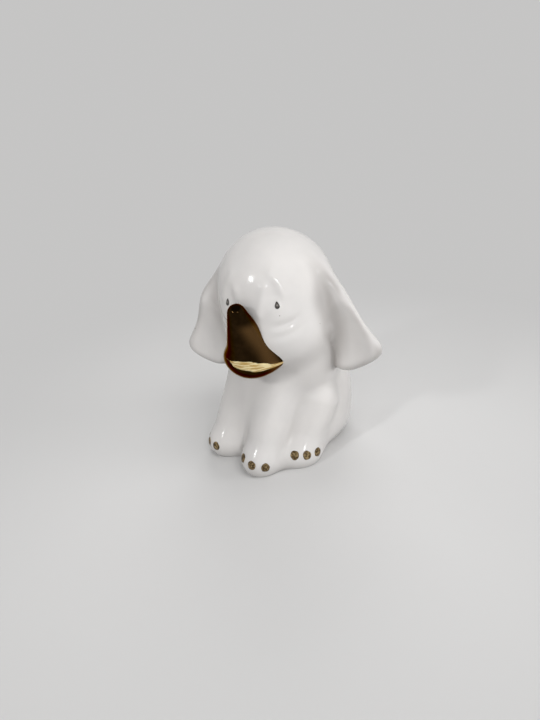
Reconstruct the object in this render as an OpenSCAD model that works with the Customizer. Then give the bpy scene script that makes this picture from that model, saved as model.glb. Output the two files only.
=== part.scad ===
// Seated porcelain elephant figurine with a raised gold trunk and gold toenails.
// It faces -Y with its own left side toward +X, and it stands on z = 0.
// The outer form is one soft shape, written as a distance from its surface. Each
// piece takes its skin from that shape and is cut where the potter joined it.

/* [Head] */
// Width of the skull
head_width = 45; // [43:0.5:48]
// Depth of the skull from brow to nape
head_depth = 47; // [45:0.5:50]
// Height of the skull
head_height = 48; // [46:0.5:51]
// Height of the middle of the head above the base
head_level = 70; // [68:0.5:73]
// Shift of the head toward the figure's left
head_side = 3; // [1:0.5:5]
// Shift of the head toward the back
head_back = 5; // [3:0.5:7]
// Turn of the head toward the figure's left, in degrees
head_turn = 22; // [16:1:28]
// Lean of the head toward the figure's right, in degrees
head_lean = 4; // [1:0.5:7]
// Width of the muzzle and cheeks
muzzle_width = 41; // [39:0.5:43]
// Depth of the muzzle
muzzle_depth = 34; // [32:0.5:36]
// Height of the muzzle
muzzle_height = 30; // [28:0.5:32]

/* [Ears] */
// Reach of an ear's tip from the middle of the head
ear_reach = 47.5; // [45:0.5:50]
// Height of an ear's root above the middle of the head
ear_rise = 16; // [13:0.5:19]
// Drop of an ear's lower edge below the middle of the head
ear_drop = 32; // [30:0.5:34]
// Thickness of an ear at its rim
ear_thickness = 8; // [7:0.25:9.5]
// How far an ear cups forward from its root
ear_sweep = 7.5; // [5:0.25:9]
// Depth of the hollow in an ear's front
ear_hollow = 3; // [2:0.25:3.5]

/* [Trunk] */
// Radius of the trunk where it leaves the lip
trunk_root_radius = 9.2; // [8.5:0.1:10]
// Radius of the trunk's tip
trunk_tip_radius = 3.5; // [3:0.1:4.2]
// Height of the trunk from root to tip, between the two centres
trunk_rise = 19; // [17:0.5:20.5]
// Shift of the trunk toward the figure's right
trunk_side = 2; // [0:0.2:3]
// How far the trunk's tip leans back toward the figure's left
trunk_lean = 1.3; // [0.5:0.1:2]
// Width of the lip from corner to corner
lip_width = 27; // [25:0.5:29]
// Height of the lip
lip_height = 13; // [11.5:0.25:14]

/* [Body] */
// Width of the belly
belly_width = 50; // [47:0.5:53]
// Depth of the belly from chest to rump
belly_depth = 54; // [51:0.5:57]
// Height of the belly form
belly_height = 53; // [50:0.5:56]
// Width of the shoulders
shoulder_width = 43; // [40:0.5:46]
// Depth of the shoulders
shoulder_depth = 41; // [38:0.5:44]
// Width of the seat on the ground
seat_width = 47; // [44:0.5:49]
// Depth of the seat on the ground
seat_depth = 56; // [53:0.5:59]
// Width of the chest between the front legs
chest_width = 26; // [23:0.5:29]

/* [Legs] */
// Distance between the middles of the front feet
front_spacing = 23; // [20:0.5:25]
// Distance of the front feet before the middle
front_stride = 18; // [16.5:0.5:19.5]
// Radius of a front leg
front_leg_radius = 7.9; // [7:0.1:8.6]
// Length of a front foot
front_foot_length = 16; // [14.5:0.25:17.5]
// Distance between the middles of the hind feet
hind_spacing = 40; // [38:0.5:43]
// Radius of a hind leg at the knee
hind_leg_radius = 8.5; // [7.5:0.1:9.2]
// Length of a hind foot
hind_foot_length = 16; // [14.5:0.25:17.5]

/* [Casting] */
// Radius of the hollow in the body
body_hollow_radius = 16; // [14:0.5:16.5]
// Radius of the hollow in the head
head_hollow_radius = 16; // [14:0.5:16.5]
// Diameter of the passage through the neck
neck_passage = 16; // [12:0.5:18]
// Diameter of the pour hole in the base
pour_hole = 10; // [7:0.5:12]

/* [Decoration] */
// Thickness of the fired gold lustre
lustre = 0.3; // [0.2:0.05:0.5]
// Width of a painted toenail
nail_width = 3.6; // [3:0.1:4.2]
// Height of a painted toenail
nail_height = 4; // [3.4:0.1:4.6]
// Width of a painted pupil
pupil_width = 1.7; // [1.3:0.1:2.2]
// Height of a painted pupil
pupil_height = 2.8; // [2.2:0.1:3.4]
// Distance between the pupils
pupil_spacing = 20.8; // [19:0.2:23]
// Shift of the pupils toward the figure's left
pupil_side = 1.3; // [0.6:0.1:2]
// Thickness of the painted enamel
enamel = 0.25; // [0.15:0.05:0.4]

/* [Hidden] */
$fn = 96;

// Colours
porcelain = [0.93, 0.91, 0.89];
gold = [0.72, 0.52, 0.2];
pupil_grey = [0.28, 0.26, 0.25];

// How softly neighbouring forms melt together
head_blend = 10;
crown_blend = 4;
ear_blend = 8;
lip_blend = 6;
neck_blend = 4;
neck_fill = 8;
neck_fill_from = -12;
neck_fill_length = 20;
body_blend = 9;
nape_blend = 4;
front_blend = 4.5;
hind_blend = 3.5;
ground_blend = 9;
ground_reach = 16;
foot_blend = 5;

// Head forms, in the head's own frame
head_centre = [head_side, head_back, head_level];
skull_at = [0, 1, 3];
skull_size = [head_width, head_depth, head_height] / 2;
crown_at = skull_at + [0, 3, 6.5];
crown_share = [0.87, 0.77, 0.625];
crown_size = [for (k = [0:2]) crown_share[k] * skull_size[k]];
muzzle_at = [3, -8, -13];
muzzle_size = [muzzle_width, muzzle_depth, muzzle_height] / 2;

// Ear forms, in the head's own frame
ear_plane_y = 4;
ear_bend_from = 17;
ear_bend_length = 16;
ear_upper_slope = 56;
ear_wave = 3;
ear_wave_middle = 22;
ear_wave_length = 16;
ear_lower_slope = 55;
ear_rim_blend = 5;
ear_corner_blend = 6;
ear_top_blend = 14;
ear_tip_drop = 22;
hollow_at = [31.5, 0, -16];
hollow_size = [8.5, 7, 13.5];
hollow_blend = 4;
ear_core = [29, -9];

// Trunk forms, in the head's own frame
trunk_root = [-trunk_side, -23, -16];
trunk_tip = [trunk_lean - trunk_side, -29.5, trunk_root.z + trunk_rise];
lip_at = [-trunk_side, -19.5, -18.5];
lip_size = [lip_width / 2, 9, lip_height / 2];
trunk_core_at = [-trunk_side, -26, -15];
trunk_crowd = 0.4;
lip_share = 0.2;
lip_turn = 0.58;
lip_hold = 2.2;

// Body forms
body_axis = [0, 8];
belly_at = [0, 15.5, 21.5];
belly_size = [belly_width, belly_depth, belly_height] / 2;
shoulder_at = [0, 9, 42];
shoulder_size = [shoulder_width / 2, shoulder_depth / 2, 22];
seat_at = [0, 11.5, 8];
seat_size = [seat_width / 2, seat_depth / 2, 13];
nape_at = head_centre + [4.5, 5, -22];
nape_inset = 1.5;
nape_size = [head_width / 2 - nape_inset, 18, 26];
chest_at = [0, -1.5, 13];
chest_size = [chest_width / 2, 12.5, 27];

// Leg forms on the figure's left side
front_foot_at = [front_spacing / 2, -front_stride, 5];
front_foot_size = [7.2, front_foot_length / 2, 6.5];
front_leg_top = [10.5, -0.5, 39];
front_ankle = [-0.2, 1, 1];
front_leg_end = front_foot_at + front_ankle;
front_top_radius = 8;
front_ray_back = 4;
front_ray_top = [8, -7];
hind_foot_at = [hind_spacing / 2, -2.5, 4.2];
hind_foot_size = [7, hind_foot_length / 2, 6];
hind_knee = [hind_spacing / 2, 9.5, 25];
hind_ankle = [0, 1.5, 0.8];
hind_leg_end = hind_foot_at + hind_ankle;
hind_end_radius = 6.3;

// Tail, in relief on the rump
tail_top = [0, 41.5, 23];
tail_end = [0, 37.5, 7.5];
tail_top_radius = 3;
tail_end_radius = 2.6;
tail_seat_y = 33;
tail_border = 0.8;
tail_blend = 1;

// Joints between the pieces
neck_slope = [-0.21, 0.32];
neck_drop = 19.5;
neck_level = head_level - neck_drop;
ear_seam_lean = 16;
ear_seam_inset = 3;
ear_seam = head_width / 2 - ear_seam_inset;
front_seam_y = -11.5;
front_seam_lean = 10;
hind_seam_inset = 13;
hind_seam_x = hind_spacing / 2 - hind_seam_inset;
hind_seam_lean = 28;
haunch_inset = 1.5;
haunch_middle = [hind_spacing / 2 - haunch_inset, 5, 9];
head_floor = 20;

// Hollows left by the poured slip
body_hollow_at = [0, 14, 26];
neck_passage_at = [1.5, 8];
pour_hole_at = [0, 16];

// Fineness of the skins
body_sides = 84;
body_levels = 26;
head_sides = 64;
head_rows = 26;
leg_sides = 32;
leg_levels = 20;
haunch_sides = 44;
haunch_rows = 14;
leaf_sides = 38;
seam_sides = 20;
trunk_sides = 44;
trunk_rows = 12;
tip_rows = 2;
tail_sides = 36;
spot_sides = 16;
far = 60;
near = 25;
rim = 0.15;
film_gap = 0.05;
touch = 0.001;
big = 200;

// Painted toenails: how far each foot's fan of nails is turned outward, the angle between
// neighbours, the height of the middle nail and the fall from each nail to the next one outward
left_front_nails_at = [20, 40, 7.1, 1.1];
right_front_nails_at = [24, 38, 6.6, 0];
hind_nails_at = [65, 40, 6.7, 0.6];
nail_search = 20;

// Painted pupils
left_pupil_level = 2.8;
right_pupil_level = 4.3;
pupil_point = 0.45;
spot_search = 4;

// Distance from an ellipsoid's surface, below zero inside
function egg(p, at, size) =
    let (q = p - at,
         a = norm([q.x / size.x, q.y / size.y, q.z / size.z]),
         b = norm([q.x / pow(size.x, 2), q.y / pow(size.y, 2), q.z / pow(size.z, 2)]))
    b < 1e-6 ? -min(size) : a * (a - 1) / b;

// Distance from a tapered rod with round ends
function rod(p, a, b, ra, rb) =
    let (v = b - a,
         taper = (rb - ra) / norm(v),
         y = (p - a) * v / norm(v),
         x = norm(p - a - y * v / norm(v)),
         h = max(0, min(1, (y + taper * x / sqrt(1 - taper * taper)) / norm(v))))
    norm(p - a - h * v) - ra - (rb - ra) * h;

// A share from 0 to 1 with soft ends
function ease(t) = let (c = max(0, min(1, t))) c * c * (3 - 2 * c);

// Soft union and soft intersection
function melt(a, b, k) = let (h = max(k - abs(a - b), 0) / k) min(a, b) - h * h * k / 4;
function pare(a, b, k) = -melt(-a, -b, k);

// The other side's twin of a point
function twin(p) = [abs(p.x), p.y, p.z];

// Head frame: turned about Z, then leaned about its own Y
head_turned = [
    [cos(head_turn), sin(head_turn), 0],
    [-sin(head_turn), cos(head_turn), 0],
    [0, 0, 1]
];
head_leaned = [
    [cos(head_lean), 0, sin(head_lean)],
    [0, 1, 0],
    [-sin(head_lean), 0, cos(head_lean)]
];
head_axes = head_leaned * head_turned;
function to_head(p) = head_axes * (p - head_centre);
function from_head(q) = q * head_axes + head_centre;

function skull(q) =
    melt(melt(egg(q, skull_at, skull_size), egg(q, crown_at, crown_size), crown_blend),
         egg(q, muzzle_at, muzzle_size), head_blend);

// Middle surface of an ear, which cups forward from its root
function ear_middle(x) =
    ear_plane_y - ear_sweep * ease((abs(x) - ear_bend_from) / ear_bend_length);

// Ear: a drooping leaf between an upper edge, a lower edge and an outer corner
function ear_leaf(q) =
    let (x = abs(q.x),
         y = q.y - ear_middle(x),
         c = cos(ear_upper_slope),
         s = sin(ear_upper_slope),
         w = ((q.z + ear_tip_drop) * s - (x - ear_reach) * c - ear_wave_middle) / ear_wave_length,
         upper = (x - ear_reach) * s + (q.z + ear_tip_drop) * c - ear_wave * w * exp(-w * w),
         corner = (x - ear_reach) * cos(ear_lower_slope) - (q.z + ear_tip_drop) * sin(ear_lower_slope),
         top = q.z - ear_rise,
         lower = -q.z - ear_drop,
         outline = pare(pare(pare(upper, corner, ear_corner_blend), lower, ear_corner_blend),
                        top, ear_top_blend),
         plate = pare(outline, abs(y) - ear_thickness / 2, ear_rim_blend),
         front = -ear_thickness / 2 + ear_hollow - hollow_size.y)
    pare(plate, -egg([x, y, q.z], [hollow_at.x, front, hollow_at.z], hollow_size), hollow_blend);

function head_with_ears(q) = melt(skull(q), ear_leaf(q), ear_blend);

// Trunk and lip: a tapered horn that rises from a wide lip
function trunk(q) =
    melt(rod(q, trunk_root, trunk_tip, trunk_root_radius, trunk_tip_radius),
         egg(q, lip_at, lip_size), lip_blend);

function front_leg(p) =
    melt(rod(p, front_leg_top, front_leg_end, front_top_radius, front_leg_radius),
         egg(p, front_foot_at, front_foot_size), foot_blend);

function hind_leg(p) =
    melt(rod(p, hind_knee, hind_leg_end, hind_leg_radius, hind_end_radius),
         egg(p, hind_foot_at, hind_foot_size), foot_blend);

function torso(p) =
    melt(melt(melt(melt(egg(p, belly_at, belly_size), egg(p, seat_at, seat_size), body_blend),
                   egg(p, shoulder_at, shoulder_size), body_blend),
              egg(p, chest_at, chest_size), body_blend),
         egg(p, nape_at, nape_size), nape_blend);

function body(p) =
    let (t = twin(p),
         low = ease(1 - p.z / ground_reach),
         front = front_blend + (ground_blend - front_blend) * low,
         hind = hind_blend + (ground_blend - hind_blend) * low)
    melt(melt(torso(p), front_leg(t), front), hind_leg(t), hind);

// Head and body together, without the ears. The neck is fuller at its sides and back than under the jaw.
function bare_figure(p) =
    p.z < head_floor ? body(p) :
    let (q = to_head(p),
         side = ease((q.y - neck_fill_from) / neck_fill_length))
    melt(skull(q), body(p), neck_blend + (neck_fill - neck_blend) * side);

// Height of the neck joint over a point of the plan
function neck_height(p) = neck_level + neck_slope.x * p.x + neck_slope.y * p.y;

// Distances past the joint planes, above zero on the far side
function past_front_seam(p) = (front_seam_y - p.y) * cos(front_seam_lean) + p.z * sin(front_seam_lean);
function past_hind_seam(p) = (p.x - hind_seam_x) * cos(hind_seam_lean) - p.z * sin(hind_seam_lean);

// Where a ray from inside a form first leaves it
function exit(from, dir, form, lo = 0, hi = far, turns = 16) =
    let (m = (lo + hi) / 2)
    turns == 0 ? from + m * dir :
    form(from + m * dir) < 0 ? exit(from, dir, form, m, hi, turns - 1) :
    exit(from, dir, form, lo, m, turns - 1);

// Angle at which a sweeping ray's end comes to a joint plane
function turn_to(lo, hi, past, turns = 16) =
    let (m = (lo + hi) / 2)
    turns == 0 ? m :
    past(m) < 0 ? turn_to(m, hi, past, turns - 1) :
    turn_to(lo, m, past, turns - 1);

// Outward direction of a form's surface
function slope_of(p, form, e = 0.02) =
    let (g = [for (k = [[e, 0, 0], [0, e, 0], [0, 0, e]]) form(p + k) - form(p - k)])
    g / norm(g);

// Closed skin over a stack of equal rings, with a point at each end
module skin(rings, first, last) {
    n = len(rings[0]);
    m = len(rings);
    points = concat([first], [for (ring = rings) each ring], [last]);
    end = len(points) - 1;
    polyhedron(points, concat(
        [for (j = [0:n - 1]) [0, 1 + j, 1 + (j + 1) % n]],
        [for (i = [0:m - 2], j = [0:n - 1])
            let (a = 1 + i * n + j, b = 1 + i * n + (j + 1) % n)
            each [[a, a + n, b], [b, a + n, b + n]]],
        [for (j = [0:n - 1])
            let (k = 1 + (m - 1) * n)
            [end, k + (j + 1) % n, k + j]]));
}

// A ray across a level that lies flat on the ground and tilts with the neck joint at the top
function level_ray(axis, t, a, form) =
    let (d = [cos(a), sin(a)])
    exit([axis.x, axis.y, t * neck_height(axis)], [d.x, d.y, t * (neck_slope * d)], form);

// Rings around a pole, from a point inside a form to a joint plane; axes are [right, up, pole]
module dome(from, axes, rows, sides, form, past, middle) {
    aim = function (j, w)
        let (a = 360 * j / sides)
        exit(from, sin(w) * (cos(a) * axes[0] + sin(a) * axes[1]) + cos(w) * axes[2], form);
    limits = [for (j = [0:sides - 1]) turn_to(0, 180, function (w) past(aim(j, w)))];
    skin([for (i = [1:rows]) [for (j = [0:sides - 1]) aim(j, limits[j] * i / rows)]],
         exit(from, axes[2], form), middle);
}

module below_ground() {
    translate([-big / 2, -big / 2, -big]) cube(big);
}

module in_head() {
    translate(head_centre) rotate([0, 0, head_turn]) rotate([0, -head_lean, 0]) children();
}

// Space outside the seam of the ear on one side, or of the hind leg
module outside_ear_seam(side) {
    in_head() rotate([0, side > 0 ? -ear_seam_lean : 180 + ear_seam_lean, 0])
        translate([ear_seam, -big / 2, -big / 2]) cube(big);
}

module outside_hind_seam(side) {
    translate([side * hind_seam_x, 0, 0]) rotate([0, side > 0 ? hind_seam_lean : 180 - hind_seam_lean, 0])
        translate([0, -big / 2, -big / 2]) cube(big);
}

module before_front_seam() {
    translate([0, front_seam_y, 0]) rotate([-front_seam_lean, 0, 0])
        translate([-big / 2, -big, -big / 2]) cube(big);
}

// Hollow through the body, the neck and the head
module slip_hollow() {
    translate(body_hollow_at) sphere(body_hollow_radius);
    translate([neck_passage_at.x, neck_passage_at.y, body_hollow_at.z])
        cylinder(d = neck_passage, h = head_level - body_hollow_at.z);
    translate(from_head(skull_at)) sphere(head_hollow_radius);
}

module pour_hole_bore() {
    translate([pour_hole_at.x, pour_hole_at.y, -1]) cylinder(d = pour_hole, h = body_hollow_at.z);
}

module body_shell() {
    rings = [for (i = [body_levels:-1:0])
        [for (j = [0:body_sides - 1])
            level_ray(body_axis, i / body_levels, -360 * j / body_sides, function (p) bare_figure(p))]];
    color(porcelain) difference() {
        skin(rings, [body_axis.x, body_axis.y, neck_height(body_axis)], [body_axis.x, body_axis.y, 0]);
        before_front_seam();
        for (side = [-1, 1]) outside_hind_seam(side);
        slip_hollow();
        pour_hole_bore();
        tail_seat();
    }
}

module head_shell() {
    form = function (q) bare_figure(from_head(q));
    past = function (q) let (p = from_head(q)) neck_height(p) - p.z;
    middle = [neck_passage_at.x, neck_passage_at.y, neck_height(neck_passage_at)];
    color(porcelain) difference() {
        in_head() dome(skull_at, [[1, 0, 0], [0, -1, 0], [0, 0, 1]], head_rows, head_sides, form, past,
                       to_head(middle));
        for (side = [-1, 1]) outside_ear_seam(side);
        slip_hollow();
    }
}

// One ear: front and back skins over a fan of rays on its middle surface, flat at its seam
module ear(side) {
    steps = [0.2, 0.4, 0.58, 0.73, 0.85, 0.93, 0.98, 1];
    form = function (q) head_with_ears(q);
    on_leaf = function (u) [side * u.x, ear_middle(u.x), u.y];
    edge = function (u) form(on_leaf(u)) + rim;
    along = [-sin(ear_seam_lean), cos(ear_seam_lean)];
    top = exit([ear_seam / cos(ear_seam_lean), 0], along, edge);
    bottom = exit([ear_seam / cos(ear_seam_lean), 0], -along, edge);
    low = atan2(bottom.y - ear_core.y, bottom.x - ear_core.x);
    high = atan2(top.y - ear_core.y, top.x - ear_core.x);
    leaf_edge = [for (j = [0:leaf_sides - 1])
        let (a = low + (high - low) * j / leaf_sides)
        j == 0 ? bottom : exit(ear_core, [cos(a), sin(a)], edge)];
    seam_edge = [for (j = [0:seam_sides - 1])
        top + (bottom - top) * (1 - cos(180 * j / seam_sides)) / 2];
    loop = concat(leaf_edge, seam_edge);
    fan = [for (j = [0:len(loop) - 1]) loop[side < 0 ? j : len(loop) - 1 - j] - ear_core];
    skin_at = function (s, way)
        [for (v = fan) exit(on_leaf(ear_core + s * v), [0, way, 0], form, 0, near)];
    color(porcelain) in_head() skin(
        concat([for (s = steps) skin_at(s, -1)], [for (i = [len(steps) - 1:-1:0]) skin_at(steps[i], 1)]),
        exit(on_leaf(ear_core), [0, -1, 0], form, 0, near),
        exit(on_leaf(ear_core), [0, 1, 0], form, 0, near));
}

module left_ear() {
    ear(1);
}

module right_ear() {
    ear(-1);
}

// Front of the face over a point of the head's own XZ plane, a film's gap before it
function face_point(u) = exit([u.x, skull_at.y, u.y], [0, -1, 0], function (q) skull(q) - film_gap);

// Angle around the trunk, with the rays crowded toward its tip
function trunk_angle(j) =
    let (b = 180 - 360 * j / trunk_sides)
    90 + b - trunk_crowd * sin(b) * 180 / PI;

// Line where the trunk and lip meet the face
function trunk_rim() = [for (j = [0:trunk_sides - 1])
    let (a = trunk_angle(j),
         middle = [trunk_core_at.x, trunk_core_at.z],
         flat = function (u) trunk(face_point(u)),
         end = exit(middle, [cos(a), sin(a)], flat, 0, near))
    face_point(end)];

// Direction of the trunk, and the direction across it toward the face
trunk_along = (trunk_tip - trunk_root) / norm(trunk_tip - trunk_root);
trunk_behind = cross(trunk_along, [1, 0, 0]);

// Point on the trunk's middle line, and the share of that line at which a rim point stands
function on_trunk(s) = trunk_core_at + s * (trunk_tip - trunk_core_at);
function rim_share(p) =
    let (v = trunk_tip - trunk_core_at)
    max(0, min(1, (p - trunk_core_at) * v / (v * v)));

// Rows of the skin from the rim to the tip. Beside the trunk the rays climb straight from the rim
// and spread evenly toward the tip; under the lip they first turn outward, and then climb.
function trunk_outer(rim) = concat([rim], [for (i = [1:trunk_rows + tip_rows])
    let (s = min(1, i / trunk_rows),
         turn = min(1, s / lip_turn),
         lift = 90 * max(0, i - trunk_rows) / (tip_rows + 1))
    [for (j = [0:trunk_sides - 1])
        let (a = trunk_angle(j),
             foot = rim_share(rim[j]),
             beside = min(1, foot / lip_share),
             climb = (1 - beside) * pow(s, lip_hold) + beside * s,
             start = (rim[j] - on_trunk(foot)) / norm(rim[j] - on_trunk(foot)),
             turned = cos(a) * [1, 0, 0] + sin(a) * trunk_behind,
             straight = start - (start * trunk_along) * trunk_along,
             held = beside * (1 - s),
             round = (1 - held) * turned + held * straight / norm(straight),
             d = (1 - turn) * start + turn * (cos(lift) * round + sin(lift) * trunk_along))
        exit(on_trunk(foot + (1 - foot) * climb), d / norm(d), function (q) trunk(q), 0, near)]]);

function tip_point() = exit(trunk_tip, trunk_along, function (q) trunk(q), 0, near);

// The skin under the lustre: its rim slides along the face, and the rest stays off the face
function sunk(p, on_rim) =
    let (q = p - lustre * slope_of(p, function (r) trunk(r)),
         height = skull(q),
         wanted = on_rim ? film_gap : max(height, 2 * film_gap))
    q + (wanted - height) * slope_of(q, function (r) skull(r));
function trunk_inner(outer) = [for (i = [0:len(outer) - 1]) [for (p = outer[i]) sunk(p, i == 0)]];

module trunk_core() {
    inner = trunk_inner(trunk_outer(trunk_rim()));
    n = len(inner);
    middle = [trunk_core_at.x, trunk_core_at.z];
    under = [for (s = [0.75, 0.5, 0.25])
        [for (p = inner[0]) face_point(middle + s * ([p.x, p.z] - middle))]];
    color(porcelain) in_head() skin(
        concat([for (i = [n - 1:-1:0]) inner[i]], under),
        sunk(tip_point(), false), face_point(middle));
}

module trunk_lustre() {
    outer = trunk_outer(trunk_rim());
    inner = trunk_inner(outer);
    n = len(outer);
    color(gold) in_head() skin(
        concat([for (i = [n - 1:-1:0]) outer[i]], inner),
        tip_point(), sunk(tip_point(), false));
}

// Corner of a front leg's level, where its seam meets the middle of the chest
function chest_corner(t) =
    let (k = t * tan(front_seam_lean),
         y = (front_seam_y + k * neck_level) / (1 - k * neck_slope.y))
    [0, y, t * neck_height([0, y])];

// One front leg with its half of the chest
module front_leg_piece(side) {
    foot = [side * front_foot_at.x, front_foot_at.y + front_ray_back];
    top = [side * front_ray_top.x, front_ray_top.y];
    rings = [for (i = [leg_levels:-1:0])
        let (t = i / leg_levels,
             axis = foot + t * (top - foot),
             half = function (p) max(bare_figure(p), -side * p.x - touch),
             aim = function (w) level_ray(axis, t, side * w - 90, half),
             inner = turn_to(0, -150, function (w) -side * aim(w).x),
             outer = turn_to(0, 150, function (w) -past_front_seam(aim(w))),
             ends = side > 0 ? [outer, inner] : [inner, outer])
        concat([chest_corner(t)],
               [for (j = [0:leg_sides]) aim(ends[0] + (ends[1] - ends[0]) * j / leg_sides)])];
    color(porcelain) skin(rings, [top.x, top.y, neck_height(top)], [foot.x, foot.y, 0]);
}

module left_front_leg() {
    front_leg_piece(1);
}

module right_front_leg() {
    front_leg_piece(-1);
}

// One hind leg with its haunch, on a seam that leans out
module hind_leg_piece(side) {
    out = [side * cos(hind_seam_lean), 0, -sin(hind_seam_lean)];
    up = [side * sin(hind_seam_lean), 0, cos(hind_seam_lean)];
    from = [side * haunch_middle.x, haunch_middle.y, haunch_middle.z];
    color(porcelain) difference() {
        dome(from, [up, [0, side, 0], out], haunch_rows, haunch_sides, function (p) bare_figure(p),
             function (p) -past_hind_seam([side * p.x, p.y, p.z]),
             from - past_hind_seam(haunch_middle) * out);
        before_front_seam();
        below_ground();
    }
}

module left_hind_leg() {
    hind_leg_piece(1);
}

module right_hind_leg() {
    hind_leg_piece(-1);
}

// Tail: a plug whose outer face carries the tail in relief
function tail(p) = rod(p, tail_top, tail_end, tail_top_radius, tail_end_radius);
function tail_middle() = (tail_top + tail_end) / 2;

function tail_edge() = [for (j = [0:tail_sides - 1])
    let (a = 360 * j / tail_sides,
         d = [cos(a), 0, sin(a)],
         flat = function (p) rod([p.x, 0, p.z], [0, 0, tail_top.z], [0, 0, tail_end.z],
                                 tail_top_radius, tail_end_radius) - tail_border,
         end = exit([0, 0, tail_middle().z], d, flat))
    end - [0, 0, tail_middle().z]];

module tail_seat() {
    translate([0, far + tail_seat_y, 0]) rotate([90, 0, 0]) linear_extrude(far)
        polygon([for (v = tail_edge()) [v.x, v.z + tail_middle().z]]);
}

module tail_piece() {
    steps = [0.25, 0.5, 0.7, 0.85, 1];
    form = function (p) melt(body(p), tail(p), tail_blend);
    edge = tail_edge();
    middle = tail_middle();
    outer = [for (s = steps)
        [for (v = edge) exit([s * v.x, tail_seat_y, middle.z + s * v.z], [0, 1, 0], form, 0, near)]];
    seat = [for (v = edge) [v.x, tail_seat_y, middle.z + v.z]];
    color(porcelain) skin(
        concat(outer, [seat]),
        exit([0, tail_seat_y, middle.z], [0, 1, 0], form, 0, near),
        [0, tail_seat_y, middle.z]);
}

// A painted spot on a form: a thin lens with the outline given by a function of the angle
module spot(at, outline, thickness, form) {
    out = slope_of(at, form);
    side = cross([0, 0, 1], out) / norm(cross([0, 0, 1], out));
    up = cross(out, side);
    steps = [0.6, 1];
    under = function (s, j)
        let (v = s * outline(-360 * j / spot_sides))
        film_gap * out + exit(at - spot_search * out + v.x * side + v.y * up, out, form, 0, 2 * spot_search);
    low = [for (s = steps) [for (j = [0:spot_sides - 1]) under(s, j)]];
    high = [for (ring = low) [for (p = ring) p + thickness * out]];
    skin(concat(high, [for (i = [len(low) - 1:-1:0]) low[i]]),
         under(0, 0) + thickness * out, under(0, 0));
}

module pupil(side, level) {
    drop = function (a)
        [pupil_width / 2 * cos(a) * (1 - pupil_point * sin(a)), pupil_height / 2 * sin(a)];
    at = face_point([pupil_side + side * pupil_spacing / 2, level]);
    color(pupil_grey) in_head() spot(at, drop, enamel, function (q) skull(q));
}

module left_eye() {
    pupil(1, left_pupil_level);
}

module right_eye() {
    pupil(-1, right_pupil_level);
}

// Three gold nails around the front of a foot
module nails(side, foot, fan) {
    form = function (p) bare_figure(p);
    oval = function (a) [nail_width / 2 * cos(a), nail_height / 2 * sin(a)];
    color(gold) for (k = [-1:1]) {
        a = fan[0] + k * fan[1];
        level = fan[2] - k * fan[3];
        at = exit([side * foot.x, foot.y, level], [side * sin(a), -cos(a), 0], form, 0, nail_search);
        spot(at, oval, lustre, form);
    }
}

module left_front_nails() {
    nails(1, front_foot_at, left_front_nails_at);
}

module right_front_nails() {
    nails(-1, front_foot_at, right_front_nails_at);
}

module left_hind_nails() {
    nails(1, hind_foot_at, hind_nails_at);
}

module right_hind_nails() {
    nails(-1, hind_foot_at, hind_nails_at);
}

body_shell();
head_shell();
left_ear();
right_ear();
trunk_core();
trunk_lustre();
left_front_leg();
right_front_leg();
left_hind_leg();
right_hind_leg();
tail_piece();  // tail
left_eye();
right_eye();
left_front_nails();
right_front_nails();
left_hind_nails();
right_hind_nails();
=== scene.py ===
# Looks of a seated porcelain elephant figurine with a gold trunk and gold toenails.
# The figure's form is written as distances in millimetres, in the part's own frame:
# it faces -Y, its own left side is +X, and it stands on z = 0. Meshes are in metres.
import math

import bpy
import numpy as np
from mathutils import Matrix, Vector
from mathutils.geometry import tessellate_polygon

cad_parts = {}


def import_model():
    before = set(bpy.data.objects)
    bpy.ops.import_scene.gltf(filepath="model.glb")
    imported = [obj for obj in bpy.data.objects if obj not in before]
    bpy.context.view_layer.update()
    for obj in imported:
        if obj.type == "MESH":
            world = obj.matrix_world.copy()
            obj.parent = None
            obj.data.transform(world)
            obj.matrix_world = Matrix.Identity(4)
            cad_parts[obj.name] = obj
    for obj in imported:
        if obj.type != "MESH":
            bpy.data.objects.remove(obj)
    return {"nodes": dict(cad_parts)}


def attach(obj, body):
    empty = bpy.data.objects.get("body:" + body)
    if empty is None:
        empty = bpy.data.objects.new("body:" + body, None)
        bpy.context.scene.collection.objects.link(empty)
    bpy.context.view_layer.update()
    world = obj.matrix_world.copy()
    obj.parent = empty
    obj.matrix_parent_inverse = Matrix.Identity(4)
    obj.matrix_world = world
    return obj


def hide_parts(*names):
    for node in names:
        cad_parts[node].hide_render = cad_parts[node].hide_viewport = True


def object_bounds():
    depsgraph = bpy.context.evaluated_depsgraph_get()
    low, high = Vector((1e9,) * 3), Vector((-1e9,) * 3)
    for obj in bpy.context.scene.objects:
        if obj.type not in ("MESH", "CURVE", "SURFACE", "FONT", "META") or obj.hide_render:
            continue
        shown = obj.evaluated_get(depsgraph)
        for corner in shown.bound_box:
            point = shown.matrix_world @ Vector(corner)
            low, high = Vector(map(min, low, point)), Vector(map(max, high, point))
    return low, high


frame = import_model()
cad_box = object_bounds()
MM = 0.001

# Head: its frame is turned about Z and leaned about its own Y
HEAD_CENTRE = np.array([3, 5, 70])
HEAD_TURN = math.radians(22)
HEAD_LEAN = math.radians(4)
SKULL_AT = (0, 1, 3)
SKULL_SIZE = (22.5, 23.5, 24)
CROWN_AT = (0, 4, 9.5)
CROWN_SIZE = (19.575, 18.095, 15)
MUZZLE_AT = (3, -8, -13)
MUZZLE_SIZE = (20.5, 17, 15)

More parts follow.
